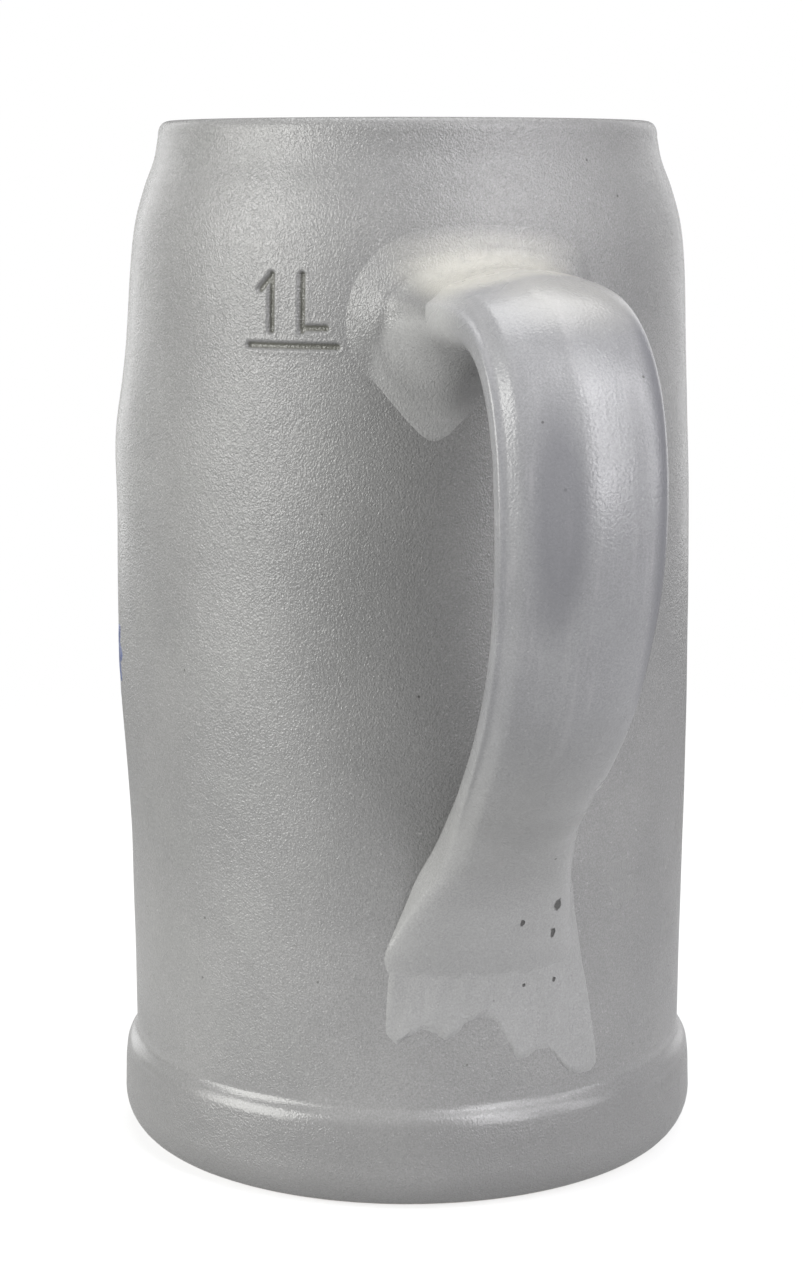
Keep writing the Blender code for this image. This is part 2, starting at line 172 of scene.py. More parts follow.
def swell(angle, height):
    """How far the wall stands out on the front half of the mug."""
    start, full, still_full, gone = SWELL_HEIGHTS
    broad = smooth_step(start, full, height) * (1.0 - smooth_step(still_full, gone, height))
    crown = np.exp(-((height - SWELL_CROWN_HEIGHT) / SWELL_CROWN_SPREAD) ** 2)
    depth = SWELL_DEPTH * broad + SWELL_CROWN_DEPTH * crown
    from_handle = np.abs(np.arctan2(np.sin(angle), np.cos(angle)))
    return depth * smooth_step(*SWELL_ANGLES, from_handle)


def turning_waver(angle, height):
    """The slight unevenness of a hand-finished wall, under a tenth of a millimetre."""
    waver = 0.5 * np.sin(3.0 * angle + 55.0 * height + 0.6)
    waver = waver + 0.3 * np.sin(7.0 * angle - 130.0 * height + 2.1)
    waver = waver + 0.2 * np.sin(13.0 * angle + 310.0 * height + 4.0)
    return WAVER * waver


def outer_surface(angle, height):
    """Radius of the finished outer wall."""
    return wall_radius(height) + swell(angle, height) + turning_waver(angle, height)


def distance_to_stroke(x, y, start, end):
    """Distance from points to a straight stroke."""
    run = (end[0] - start[0], end[1] - start[1])
    along = ((x - start[0]) * run[0] + (y - start[1]) * run[1]) / (run[0] ** 2 + run[1] ** 2)
    along = np.clip(along, 0.0, 1.0)
    return np.hypot(x - start[0] - along * run[0], y - start[1] - along * run[1])


def signed_power(value, power):
    return np.sign(value) * np.abs(value) ** power


def mark_relief(angle, height):
    """Depth of the impressed mark, with the low ridge of clay that a stamp pushes up."""
    around = (angle - MARK_ANGLE) * wall_radius(height)
    distance = np.full(np.shape(around), 1.0)
    for start, end in MARK_STROKES:
        distance = np.minimum(distance, distance_to_stroke(around, height, start, end))
    groove = 1.0 - smooth_step(MARK_HALF_STROKE * 0.55, MARK_HALF_STROKE * 1.55, distance)
    ridge = np.exp(-((distance - MARK_HALF_STROKE * 2.1) / MARK_RIDGE_SPREAD) ** 2)
    return MARK_RIDGE * ridge - MARK_DEPTH * groove


# ---------------- mesh helpers

def unit(ways):
    return ways / np.linalg.norm(ways, axis=-1, keepdims=True)


def around_axis(angle, height, reach):
    """Points at angles round the mug's axis, heights and distances from the axis."""
    return np.stack([reach * np.cos(angle), reach * np.sin(angle), height + 0.0 * reach], -1)


def add_object(name, data):
    item = bpy.data.objects.new(name, data)
    bpy.context.scene.collection.objects.link(item)
    return item


def mesh_object(name, points, faces, material):
    """A smooth-shaded object, sharp where its faces meet at more than 60 degrees."""
    mesh = bpy.data.meshes.new(name)
    mesh.from_pydata([tuple(p) for p in points], [], [tuple(f) for f in faces])
    mesh.validate()
    mesh.shade_smooth()
    mesh.set_sharp_from_angle(angle=math.radians(60.0))
    mesh.materials.append(material)
    return add_object(name, mesh)


def grid_faces(rows, columns, first=0, wrap=True):
    """Quads of a grid of points, from its first point's number. wrap closes every row."""
    faces = []
    for row in range(rows - 1):
        for column in range(columns if wrap else columns - 1):
            a = first + row * columns + column
            b = first + row * columns + (column + 1) % columns
            faces.append((a, b, b + columns, a + columns))
    return faces


def closed_piece(name, sheets, material, wrap=False, hubs=None):
    """One piece from pairs of front and back grids, each pair closed along its borders.

    hubs are a front and a back point that close the first row of a wrapped pair instead.
    """
    points, faces = [], []
    for front, back in sheets:
        rows, count = front.shape[:2]
        first = len(points)
        second = first + rows * count
        points += [*front.reshape(-1, 3), *back.reshape(-1, 3)]
        faces += grid_faces(rows, count, first, wrap)
        faces += [face[::-1] for face in grid_faces(rows, count, second, wrap)]
        top = list(range(count))
        right = [row * count + count - 1 for row in range(1, rows - 1)]
        bottom = [(rows - 1) * count + k for k in reversed(top)]
        left = [row * count for row in range(rows - 2, 0, -1)]
        borders = [bottom] if hubs else [top, bottom]
        if not wrap:
            borders = [top + right + bottom + left]
        for border in borders:
            for a, b in zip(border, border[1:] + border[:1]):
                faces.append((first + b, first + a, second + a, second + b))
    if hubs:
        for a, b in zip(top, top[1:] + top[:1]):
            faces.append((len(points), first + b, first + a))
            faces.append((len(points) + 1, second + a, second + b))
        points += hubs
    piece = mesh_object(name, points, faces, material)
    builder = bmesh.new()
    builder.from_mesh(piece.data)
    bmesh.ops.recalc_face_normals(builder, faces=builder.faces)
    builder.to_mesh(piece.data)
    builder.free()
    return piece


def uneven_steps(start, end, coarse, zones):
    """Places from start to end. Each zone is (low, high, step), finer than the coarse step."""
    places = [start]
    while places[-1] < end:
        here = places[-1]
        step = coarse
        for low, high, fine in zones:
            away = max(low - here, here - high, 0.0)
            step = min(step, fine + 0.3 * away)
        places.append(here + step)
    places = np.array(places)
    return start + (places - start) * (end - start) / (places[-1] - start)


# ---------------- body

def body_rows():
    """The mug's half section, from the middle of the underside, up the outside, and down inside.

    Each row is (radius, height, 1 where the outer wall's relief applies).
    """
    rows = [(radius, 0.0, 0.0) for radius in np.linspace(HUB_RADIUS, FOOT_CONTACT_RADIUS, 12)]
    for angle in np.linspace(0.0, math.pi / 2.0, 11)[1:-1]:
        across = FOOT_CONTACT_RADIUS + (BAND_RADIUS - FOOT_CONTACT_RADIUS) * math.sin(angle)
        rows.append((across, FOOT_EDGE_HEIGHT * (1.0 - math.cos(angle)), 0.0))
    for height in np.linspace(FOOT_EDGE_HEIGHT, GROOVE_HEIGHT, 44)[:-1]:
        rows.append((smooth_curve(BAND_STATIONS, height), height, 0.0))
    fine_zones = (
        (MARK_BASE - 0.0040, MARK_TOP + 0.0012, 0.00027),
        (0.1740, LIP_START, 0.0008),
        (GROOVE_HEIGHT, 0.0230, 0.0005),
    )
    for height in uneven_steps(GROOVE_HEIGHT, LIP_START, 0.0017, fine_zones):
        rows.append((wall_radius(height), height, 1.0))
    middle = (inner_radius(LIP_START) + wall_radius(LIP_START)) / 2.0
    for angle in np.linspace(0.0, math.pi, 23)[1:-1]:
        across = signed_power(math.cos(angle), 2.0 / LIP_SQUARENESS)
        rise = math.sin(angle) ** (2.0 / LIP_SQUARENESS)
        rows.append((middle + LIP_THICKNESS / 2.0 * across, LIP_START + LIP_CROWN * rise, 0.0))
    for height in np.linspace(LIP_START, FLOOR_THICKNESS + FLOOR_FILLET, 52)[:-1]:
        rows.append((inner_radius(height), height, 0.0))
    corner_radius = inner_radius(FLOOR_THICKNESS + FLOOR_FILLET)
    for angle in np.linspace(math.pi / 2.0, 0.0, 10):
        across = corner_radius - FLOOR_FILLET * (1.0 - math.sin(angle))
        rows.append((across, FLOOR_THICKNESS + FLOOR_FILLET * (1.0 - math.cos(angle)), 0.0))
    for radius in np.linspace(corner_radius - FLOOR_FILLET, HUB_RADIUS, 10)[1:]:
        rows.append((radius, FLOOR_THICKNESS, 0.0))
    return np.array(rows)


def build_body(material, clay):
    """The turned mug, with a finer mesh round the capacity mark and bare clay underneath."""
    rows = body_rows()
    mark_zone = (MARK_ANGLE - MARK_HALF_ANGLE, MARK_ANGLE + MARK_HALF_ANGLE, math.radians(0.30))
    angles = uneven_steps(-math.pi, math.pi, math.radians(1.5), (mark_zone,))[:-1]
    radius, height, relief = (rows[:, k][:, None] for k in range(3))
    angle = angles[None, :]
    spread = smooth_step(GROOVE_HEIGHT, GROOVE_HEIGHT + 0.004, height) * relief
    spread = spread * (1.0 - smooth_step(LIP_START - 0.004, LIP_START, height))
    stand_out = spread * (swell(angle, height) + turning_waver(angle, height))
    stand_out = stand_out + relief * mark_relief(angle, height)
    band = np.exp(-((height - BAND_WAVER_HEIGHT) / BAND_WAVER_SPREAD) ** 2)
    band = band * (radius > FOOT_SKIN_RADIUS)
    stand_out = stand_out + band * 3.0 * turning_waver(angle, 0.02)
    points = around_axis(angle, height, radius + stand_out).reshape(-1, 3)
    count = len(angles)
    faces = grid_faces(len(rows), count)
    points = np.concatenate([points, [[0.0, 0.0, 0.0], [0.0, 0.0, FLOOR_THICKNESS]]])
    bottom, floor = len(points) - 2, len(points) - 1
    last = (len(rows) - 1) * count
    for column in range(count):
        following = (column + 1) % count
        faces.append((bottom, following, column))
        faces.append((floor, last + column, last + following))
    body = mesh_object("stoneware_body", points, faces, material)
    body.data.materials.append(clay)
    for polygon in body.data.polygons:
        if max(body.data.vertices[k].co.z for k in polygon.vertices) < BARE_CLAY_HEIGHT:
            polygon.material_index = 1
    return body


# ---------------- handle

# The CAD's strap with a longer, thinner tail: distance from the axis, height, half width, half
# thickness, sideways shift and wrap round the wall. It starts in the wall and sinks into the wash.
HANDLE_STATIONS = np.array((
    (48.7, 159.0, 15.2, 7.8, 0.0, 0.0), (54.0, 159.3, 15.0, 7.6, 0.0, 0.0),
    (66.0, 159.9, 14.8, 7.0, 0.0, 0.0), (78.0, 159.0, 14.5, 6.6, 0.0, 0.0),
    (86.6, 155.4, 14.3, 6.4, 0.0, 0.0), (92.6, 149.0, 14.2, 6.2, 0.0, 0.0),
    (96.0, 140.5, 14.1, 6.0, 0.0, 0.0), (97.1, 130.0, 14.0, 6.0, 0.0, 0.0),
    (96.2, 119.5, 13.7, 6.0, 0.0, 0.0), (93.1, 109.0, 13.2, 6.0, 0.0, 0.0),
    (87.8, 98.4, 12.8, 6.0, 0.0, 0.0), (80.5, 89.1, 12.2, 6.0, 0.0, 0.0),
    (71.8, 80.8, 11.6, 5.9, 0.2, 0.0), (63.3, 73.3, 11.4, 5.7, 0.8, 0.1),
    (57.3, 65.7, 12.3, 5.2, 1.0, 0.4), (54.1, 58.8, 14.3, 4.3, 0.2, 0.8),
    (52.6, 52.5, 16.1, 3.4, -0.6, 1.0), (51.9, 47.0, 17.5, 2.6, -1.3, 1.0),
    (51.4, 42.0, 18.0, 1.8, -1.3, 1.0), (50.9, 38.0, 18.2, 1.2, -1.3, 1.0),
)) * (MM, MM, MM, MM, MM, 1.0)
HANDLE_SPANS = 10
HANDLE_RING = 128
SECTION_SQUARENESS = 2.5
TAIL_SQUARENESS = 4.5  # the tail is pressed flat, with tighter edges
TAIL_HEIGHTS = (0.055, 0.080)
# Relief that turns the -Y half of the outer face into two flatter facets, as (place across the
# width, relief). Place -1 is the -Y edge.
FACETS = np.array((
    (-1.0, -1.3), (-0.91, -1.6), (-0.84, -1.5), (-0.76, -1.2), (-0.65, -1.2), (-0.5, -1.1),
    (-0.35, -0.8), (-0.2, -0.45), (-0.14, -0.19), (-0.1, -0.12), (-0.04, -0.06), (0.03, 0.1),
    (0.12, 0.05), (0.3, 0.0), (0.6, 0.0), (0.8, 0.1), (0.9, 0.2), (1.0, 0.0),
)) * (1.0, MM)
FACET_HEIGHTS = (0.060, 0.088)  # the facets fade out on the way down to the tail


def handle_grid():
    """The strap's surface as an array of rings: (stations along it, points round it, xyz)."""
    rows = spline_rows(HANDLE_STATIONS, HANDLE_SPANS)
    run = unit(np.gradient(rows[:, :2], axis=0))
    outward = np.stack([-run[:, 1], run[:, 0]], -1)
    angle = math.tau * np.arange(HANDLE_RING)[None, :] / HANDLE_RING
    sine, cosine = np.sin(angle), np.cos(angle)
    reach, height, half_width, half_thickness, shift, wrap = (rows[:, k][:, None] for k in range(6))
    flat = 1.0 - smooth_step(*TAIL_HEIGHTS, height)
    power = 2.0 / (SECTION_SQUARENESS + (TAIL_SQUARENESS - SECTION_SQUARENESS) * flat)
    across = signed_power(sine, power)
    out = signed_power(cosine, power)
    relief = smooth_step(*FACET_HEIGHTS, height) * smooth_curve(FACETS, across)
    stand_out = half_thickness * out + relief * smooth_step(0.0, 0.5, cosine)
    sideways = half_width * across + shift
    wall = wall_radius(height)
    drop = wrap * (wall - np.sqrt(wall ** 2 - sideways ** 2))
    x = reach + outward[:, 0:1] * stand_out - drop
    z = height + outward[:, 1:2] * stand_out
    return np.stack([x, sideways, z], -1)


def build_handle(material):
    """The pulled strap, closed at both ends."""
    grid = handle_grid()
    rings = len(grid)
    points = grid.reshape(-1, 3)
    faces = [face[::-1] for face in grid_faces(rings, HANDLE_RING)]
    last = (rings - 1) * HANDLE_RING
    faces.append(tuple(range(HANDLE_RING)))
    faces.append(tuple(last + k for k in reversed(range(HANDLE_RING))))
    return mesh_object("strap_handle", points, faces, material)


# ---------------- slip at the joints

# Outlines on the unrolled wall: (distance round the wall from the handle, height).
UPPER_SLIP_OUTLINE = np.array((
    (0.0, 173.0), (-9.0, 172.8), (-16.5, 170.8), (-22.0, 165.5), (-24.3, 158.5), (-23.3, 152.0),
    (-19.5, 148.0), (-16.1, 143.7), (-12.5, 139.3), (-9.5, 137.2), (-7.8, 138.2), (-5.0, 143.2),
    (0.0, 145.5), (8.0, 146.0), (15.0, 149.0), (19.0, 155.0), (19.0, 163.0), (15.5, 169.5),
    (8.5, 172.5),
)) * MM
LOWER_SLIP_CENTRE = np.array((0.000, 0.056))
LOWER_SLIP_OUTLINE = np.array((
    (1.0, 76.0), (-4.2, 74.8), (-6.6, 70.8), (-8.2, 66.4), (-10.4, 61.8), (-13.3, 57.2),
    (-16.0, 52.5), (-18.2, 47.5), (-18.7, 42.0), (-19.0, 35.0), (-18.9, 32.2), (-17.2, 30.7),
    (-14.8, 32.1), (-12.1, 33.1), (-10.0, 32.1), (-8.1, 31.2), (-6.1, 32.3), (-4.1, 34.2),
    (-1.2, 34.9), (1.3, 33.4), (3.0, 30.7), (4.8, 27.3), (6.2, 26.3), (8.8, 27.5), (11.1, 27.5),
    (13.0, 26.1), (15.0, 23.5), (17.8, 21.9), (21.2, 21.7), (22.6, 24.0), (20.8, 34.5),
    (18.5, 45.5), (16.2, 60.0), (14.6, 67.0), (11.8, 71.8), (7.2, 75.0),
)) * MM
# Where the tail meets the wall: its place round the wall, height, half width and half height.
LOWER_ROOT = (0.0020, 0.0650, 0.0095, 0.0045)
COLLAR_RISE = 0.0020  # slip heaped against the tail
COLLAR_REACH = 0.0040
WASH_THICKNESS = 0.00024
WASH_EDGE = (-0.0001, 0.0016)  # the wash thins out between these distances from its outline
# Brushed waves: rise, radians in a metre round and up the wall, phase.
RIPPLES = ((0.00006, 900.0, 260.0, 0.0), (0.00005, 1500.0, -420.0, 1.0))
DRIP_DEPTH = 0.00010
DRIP_HEIGHTS = (0.034, 0.040)  # the outline's drips fade out on the way up
WELT_RISE = 0.00015  # slip heaped across the wash at the tail's end
WELT_HEIGHT = 0.0440
WELT_SPREAD = 0.0045
WELT_HALF_WIDTHS = (0.0120, 0.0175)
FILLET_ON_WALL = (0.0036, 0.0060)  # least, and its extra under the strap
FILLET_ON_STRAP = (0.0046, 0.0080, 0.0075)  # least, its extra under and its extra on the -Y side
FILLET_EDGE_RUN = 0.0008  # how far the fillet's edge runs on along the strap
FILLET_EDGE_SINK = 0.0003  # how far that edge dips into the strap
MOUND = (0.00026, 0.00180)  # least rise of the smear by the fillet, and its extra
SMEAR_SPREAD = 0.0012  # how far the upper smear runs past its outline
TUCK = 0.00008  # how far a smear's edge dips under the wall's skin
HIDDEN_DEPTH = 0.0012  # how far under the wall's skin a slip piece's back lies
FILLET_PULL = 0.56  # how far a fillet's curve leans to its corner
FILLET_STEPS = 16
SMEAR_STEPS = 14


def on_wall(around, height, offset):
    """Points at a distance round the wall from the handle, standing off its finished skin."""
    angle = around / wall_radius(height)
    return around_axis(angle, height, outer_surface(angle, height) + offset)


def unroll(points):
    """Distance round the wall and height of points in space."""
    angle = np.arctan2(points[..., 1], points[..., 0])
    return np.stack([angle * wall_radius(points[..., 2]), points[..., 2]], -1)


def strap_line_crossings(grid):
    """Lines along the strap, run back to its root, and where each one enters the wall."""
    half = len(grid) // 2
    lines = grid[:half][::-1]
    outside = np.hypot(lines[..., 0], lines[..., 1]) - wall_radius(lines[..., 2])
    crossings = []
    for column in range(lines.shape[1]):
        clear = outside[:, column]
        inside = int(np.argmax(clear < 0.0))
        share = clear[inside - 1] / (clear[inside - 1] - clear[inside])
        corner = lines[inside - 1, column] * (1.0 - share) + lines[inside, column] * share
        crossings.append((inside, corner))
    return lines, crossings


def point_back(line, inside, corner, length):
    """The point on a strap line at a length from its corner, and the way back to the wall."""
    here, left, index = corner, length, inside - 1
    while True:
        step = line[index] - here
        size = np.linalg.norm(step)
        if size >= left:
            point = here + step * (left / size)
            return point, -step / size
        left -= size
        here = line[index]
        index -= 1


def smooth_ring(values, passes):
    """A closed run of values, each pass averaging every value with its neighbours."""
    for _ in range(passes):
        values = 0.25 * np.roll(values, 1, 0) + 0.5 * values + 0.25 * np.roll(values, -1, 0)
    return values


def ray_to_outline(start, direction, outline):
    """Distance from a point along a direction to the outline's far crossing."""
    side = np.roll(outline, -1, 0) - outline
    gap = outline - start
    across = direction[0] * side[:, 1] - direction[1] * side[:, 0]
    reach = (gap[:, 0] * side[:, 1] - gap[:, 1] * side[:, 0]) / across
    place = (gap[:, 0] * direction[1] - gap[:, 1] * direction[0]) / across
    return reach[(place >= 0.0) & (place <= 1.0)].max()


def outward_ways(flat):
    """For each place round the strap's foot on the wall, the unit way that leads away from it."""
    tangent = smooth_ring(np.roll(flat, -1, 0) - np.roll(flat, 1, 0), 4)
    normal = unit(np.stack([tangent[:, 1], -tangent[:, 0]], -1))
    away = unit(flat - flat.mean(0))
    if np.mean(np.sum(normal * away, 1)) < 0.0:
        normal = -normal
    return unit(smooth_ring(0.5 * normal + 0.5 * away, 3))


def build_upper_slip(grid, material):
    """The fillet round the strap's root, running out over a low mound into a smear on the wall."""
    lines, crossings = strap_line_crossings(grid)
    flat = unroll(np.array([corner for _, corner in crossings]))
    lean = outward_ways(flat)
    outline = spline_rows(UPPER_SLIP_OUTLINE, 6, closed=True)
    reach = np.array([ray_to_outline(flat[k], lean[k], outline) for k in range(len(flat))])
    reach = smooth_ring(reach, 2) + SMEAR_SPREAD
    under = np.clip(-lean[:, 1], 0.0, 1.0)
    left = np.clip(-lean[:, 0], 0.0, 1.0)
    least, extra_under = FILLET_ON_WALL
    fillet_wall = smooth_ring(np.minimum(least + extra_under * under, 0.72 * reach), 3)
    least, extra_under, extra_left = FILLET_ON_STRAP
    fillet_strap = least + extra_under * under + extra_left * left * (1.0 - under)
    fillet_strap = smooth_ring(fillet_strap, 3)
    least, extra = MOUND
    mound = least + extra * smooth_step(-0.65, 0.10, lean[:, 1]) * (0.22 + 0.78 * left)
    middle = lines.mean(1)
    front, back = [], []
    for k, (inside, corner) in enumerate(crossings):
        top, strap_way = point_back(lines[:, k], inside, corner, fillet_strap[k])
        wall_place = flat[k] + lean[k] * fillet_wall[k]
        foot = on_wall(wall_place[0], wall_place[1], mound[k])
        base = on_wall(flat[k, 0], flat[k, 1], mound[k])
        first = top + FILLET_PULL * (base - top)
        second = foot + FILLET_PULL * (base - foot)
        inward = unit(middle[np.argmin(np.linalg.norm(lines[:, k] - top, axis=1))] - top)
        line = [top - strap_way * FILLET_EDGE_RUN + inward * FILLET_EDGE_SINK]
        for t in np.linspace(0.0, 1.0, FILLET_STEPS + 1):
            point = (1 - t) ** 3 * top + 3 * (1 - t) ** 2 * t * first
            line.append(point + 3 * (1 - t) * t ** 2 * second + t ** 3 * foot)
        for t in np.linspace(0.0, 1.0, SMEAR_STEPS + 1)[1:]:
            place = wall_place + lean[k] * (reach[k] - fillet_wall[k]) * t
            offset = mound[k] * (1.0 - t) ** 1.25 - TUCK * smooth_step(0.85, 1.0, t)
            line.append(on_wall(place[0], place[1], offset))
        front.append(line)
        places = unroll(np.array(line))
        back.append(on_wall(places[:, 0], places[:, 1], -HIDDEN_DEPTH))
    front = np.array(front).transpose(1, 0, 2)
    back = np.array(back).transpose(1, 0, 2)
    return closed_piece("upper_slip_fillet", [(front, back)], material, wrap=True)


def build_lower_slip(material):
    """The slip under the tail, with its wash smeared down to the foot band."""
    outline = spline_rows(LOWER_SLIP_OUTLINE, 8, closed=True)
    around, height = outline[:, 0], outline[:, 1]
    drips = np.sin(2300.0 * around) + 0.7 * np.sin(4900.0 * around + 1.0)
    drips = drips * DRIP_DEPTH * (1.0 - smooth_step(*DRIP_HEIGHTS, height))
    outline = np.stack([around, height + drips], -1)
    centre = LOWER_SLIP_CENTRE
    share = np.linspace(0.0, 1.0, 44) ** 0.8
    places = centre + (outline[None, :, :] - centre) * share[1:, None, None]
    around, height = places[..., 0], places[..., 1]
    root_around, root_height, half_width, half_height = LOWER_ROOT
    from_root = np.hypot((around - root_around) / half_width, (height - root_height) / half_height)
    distance = np.maximum(0.0, (from_root - 1.0) * min(half_width, half_height))
    collar = COLLAR_RISE * np.clip(1.0 - distance / COLLAR_REACH, 0.0, 1.0) ** 2
    edge_gap = np.linalg.norm(outline - centre, axis=1)[None, :] * (1.0 - share[1:, None])
    fade = smooth_step(*WASH_EDGE, edge_gap)
    ripple = sum(rise * np.sin(across * around + up * height + phase)
                 for rise, across, up, phase in RIPPLES)
    welt = WELT_RISE * np.exp(-((height - WELT_HEIGHT) / WELT_SPREAD) ** 2)
    welt = welt * (1.0 - smooth_step(*WELT_HALF_WIDTHS, np.abs(around)))
    offset = fade * (WASH_THICKNESS + ripple + collar + welt) - TUCK * (1.0 - fade)
    front = on_wall(around, height, offset)
    back = on_wall(around, height, -HIDDEN_DEPTH)
    hubs = [on_wall(centre[0], centre[1], rise) for rise in (WASH_THICKNESS, -HIDDEN_DEPTH)]
    return closed_piece("lower_slip_wash", [(front, back)], material, wrap=True, hubs=hubs)


# ---------------- painted decoration

PAINT_RISE = 0.00007  # how far a stroke's middle stands off the wall
PAINT_SUNK = 0.00030  # how far under the wall's skin its back lies
FRONT_RADIUS = 0.0536
SPRAY_CENTRE = 0.098
PETALS = 8
PETAL_START = 0.0040
FLOWER_DOT = 0.0026
FLOWER_BERRY = (0.0122, 0.0009)  # distance from the flower's middle, radius
# A garland's stem from the flower outwards, as (distance from the middle, height).
GARLAND_STEM = np.array((
    (6.0, 94.0), (19.0, 86.5), (34.0, 90.5), (48.0, 99.0), (60.5, 96.5), (72.5, 93.2),
)) * MM
GARLAND_LEAF_LEAN = 52.0
GARLAND_BERRY = (0.0015, 0.0052, 0.0012)  # how far out and across the stem, radius
BUD_PLACE = (0.0716, 0.0932)
BUD_LEANS = (-36.0, 0.0, 36.0)
SPRIG_START = 0.0150
SPRIG_LENGTH = 0.0200
SPRIG_LEAF_LEAN = 48.0
# Length and half width of the leaves.
PETAL = (0.0088, 0.0030)
GARLAND_LEAF = (0.0135, 0.0030)
BUD_LEAF = (0.0092, 0.0030)
SPRIG_TIP = (0.0075, 0.0022)


def on_front(around, height, offset):
    """Points at a distance round the wall from the middle of the front."""
    angle = math.pi + around / FRONT_RADIUS
    return around_axis(angle, height, outer_surface(angle, height) + offset)


def brush_stroke(spine, half_width, blunt=1.0):
    """Front and back grids of one brushed stroke, domed across and pointed at both ends."""
    centre = spline_rows(spine, 8)
    run = unit(np.gradient(centre, axis=0))
    aside = np.stack([-run[:, 1], run[:, 0]], -1)
    along = np.linspace(0.02, 0.98, len(centre))
    width = half_width * np.sin(math.pi * along) ** (0.75 / blunt)
    across = np.linspace(-1.0, 1.0, 9)
    places = centre[:, None, :] + aside[:, None, :] * (width[:, None] * across[None, :])[..., None]
    dome = (1.0 - across[None, :] ** 2) * np.sin(math.pi * along)[:, None] ** 0.5
    front = on_front(places[..., 0], places[..., 1], PAINT_RISE * dome - TUCK * (1.0 - dome))
    back = on_front(places[..., 0], places[..., 1], -PAINT_SUNK)
    return front, back


def leaf(foot, direction, length, half_width, bend=0.0):
    """A leaf-shaped stroke from its foot, pointing in a direction in degrees."""
    way = math.radians(direction)
    ahead = np.array([math.cos(way), math.sin(way)])
    side = np.array([-ahead[1], ahead[0]])
    spine = [np.array(foot) + ahead * length * t + side * bend * length * t * (1.0 - t) * 4.0
             for t in (0.0, 0.33, 0.67, 1.0)]
    return brush_stroke(spine, half_width)


def dot(centre, radius):
    """A short, blunt stroke as a berry."""
    left = (centre[0] - radius, centre[1])
    return brush_stroke([left, centre, (centre[0] + radius, centre[1])], radius, 1.5)


def garland(side):
    """One half of the spray: a waved stem with leaves and berries, ending in a bud."""
    stem = GARLAND_STEM * (side, 1.0)
    strokes = [brush_stroke(stem, 0.0008, 3.0)]
    stations = spline_rows(stem, 4)
    for index in range(3, len(stations) - 2, 3):
        up = 1.0 if index % 2 else -1.0
        lean = GARLAND_LEAF_LEAN * up
        direction = lean if side > 0 else 180.0 - lean
        foot = stations[index]
        strokes.append(leaf(foot, direction, *GARLAND_LEAF, 0.18 * up * side))
        out, down, radius = GARLAND_BERRY
        berry = foot + np.array([side * out, -down * up])
        strokes.append(dot(berry, radius))
        strokes.append(brush_stroke([foot, (foot + berry) / 2.0, berry], 0.0003, 3.0))
    outward = 0.0 if side > 0 else 180.0
    bud = (side * BUD_PLACE[0], BUD_PLACE[1])
    for lean in BUD_LEANS:
        strokes.append(leaf(bud, outward + side * lean, *BUD_LEAF))
    return strokes


def sprig(way):
    """A short upright sprig above (way 1) or below (way -1) the flower."""
    foot = SPRAY_CENTRE + way * SPRIG_START
    stem = [(0.0, foot), (0.0006, foot + way * SPRIG_LENGTH / 2.0), (0.0, foot + way * SPRIG_LENGTH)]
    strokes = [brush_stroke(stem, 0.0007, 3.0)]
    for share in (0.25, 0.60):
        for side in (-1.0, 1.0):
            direction = way * SPRIG_LEAF_LEAN if side > 0 else 180.0 - way * SPRIG_LEAF_LEAN
            start = (0.0, foot + way * SPRIG_LENGTH * share)
            strokes.append(leaf(start, direction, 0.0110 - 0.0035 * share, 0.0024))
    tip = (0.0, foot + way * (SPRIG_LENGTH - 0.0010))
    strokes.append(leaf(tip, way * 90.0, *SPRIG_TIP))
    return strokes


def flower():
    """Eight petals and eight berries round a dot."""
    strokes = [dot((0.0, SPRAY_CENTRE), FLOWER_DOT)]
    berry_place, berry_radius = FLOWER_BERRY
    for petal in range(PETALS):
        direction = 360.0 / PETALS * petal
        way = math.radians(direction)
        foot = (PETAL_START * math.cos(way), SPRAY_CENTRE + PETAL_START * math.sin(way))
        strokes.append(leaf(foot, direction, *PETAL))
        way += math.pi / PETALS
        berry = (berry_place * math.cos(way), SPRAY_CENTRE + berry_place * math.sin(way))
        strokes.append(dot(berry, berry_radius))
    return strokes


# ---------------- material nodes

